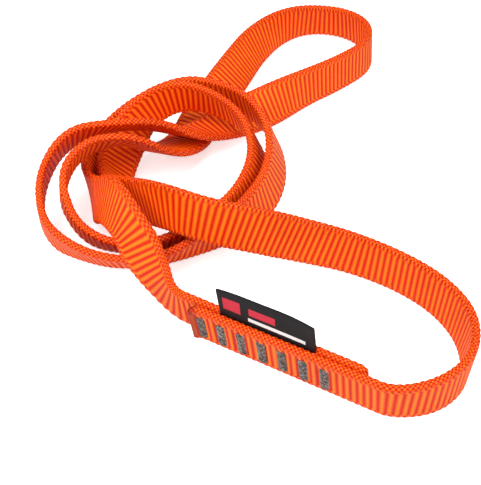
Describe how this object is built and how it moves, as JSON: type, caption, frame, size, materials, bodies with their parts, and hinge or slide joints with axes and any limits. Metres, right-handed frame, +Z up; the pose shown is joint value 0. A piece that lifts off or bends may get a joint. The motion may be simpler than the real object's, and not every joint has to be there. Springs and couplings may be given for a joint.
{
  "type": "sewn webbing sling",
  "caption": "closed sling of flat ribbed nylon webbing on edge, doubled and tied in a loose overhand knot, with a bar-tacked splice and a sewn-in label",
  "frame": {"origin": "bottom centre of the sling's box, on the floor that it lies on", "axes": "+Z up, the sling standing on its edge; +Y along the sling from its sewn splice to its far bight; +X to the right seen from the splice"},
  "size_m": [0.1388, 0.2148, 0.0342],
  "materials": {
    "webbing": "bright orange ribbed nylon webbing with a fine diagonal weave along its edges",
    "tack_thread": "dark grey bonded nylon thread, dense zigzag bar tacks",
    "label": "black woven polyester ribbon, fine satin weave, bare"
  },
  "bodies": {
    "sling": {"splice_front": "webbing", "splice_back": "webbing", "label_root": "label", "bar_tack_1": "tack_thread", "bar_tack_2": "tack_thread", "bar_tack_3": "tack_thread", "bar_tack_4": "tack_thread", "bar_tack_5": "tack_thread", "bar_tack_6": "tack_thread", "bar_tack_7": "tack_thread", "front_bight": "webbing", "front_run": "webbing", "inner_turn": "webbing", "inner_top": "webbing", "inner_right": "webbing", "inner_bottom": "webbing", "inner_left": "webbing", "far_run_left": "webbing", "far_bight_left": "webbing", "far_bight_right": "webbing", "far_run_right": "webbing", "outer_crossing": "webbing", "outer_left": "webbing", "outer_bottom": "webbing", "outer_right": "webbing", "outer_top": "webbing", "outer_turn": "webbing", "splice_run": "webbing"},
    "label": {"label_flap": "label"}
  },
  "joints": [
    {"name": "label_flap_hinge", "type": "hinge", "parent": "sling", "child": "label", "pos_m": [0.00755, -0.0857, 0.01666], "axis": [0.8686, -0.4955, 0], "range_deg": [-60, 60]}
  ]
}
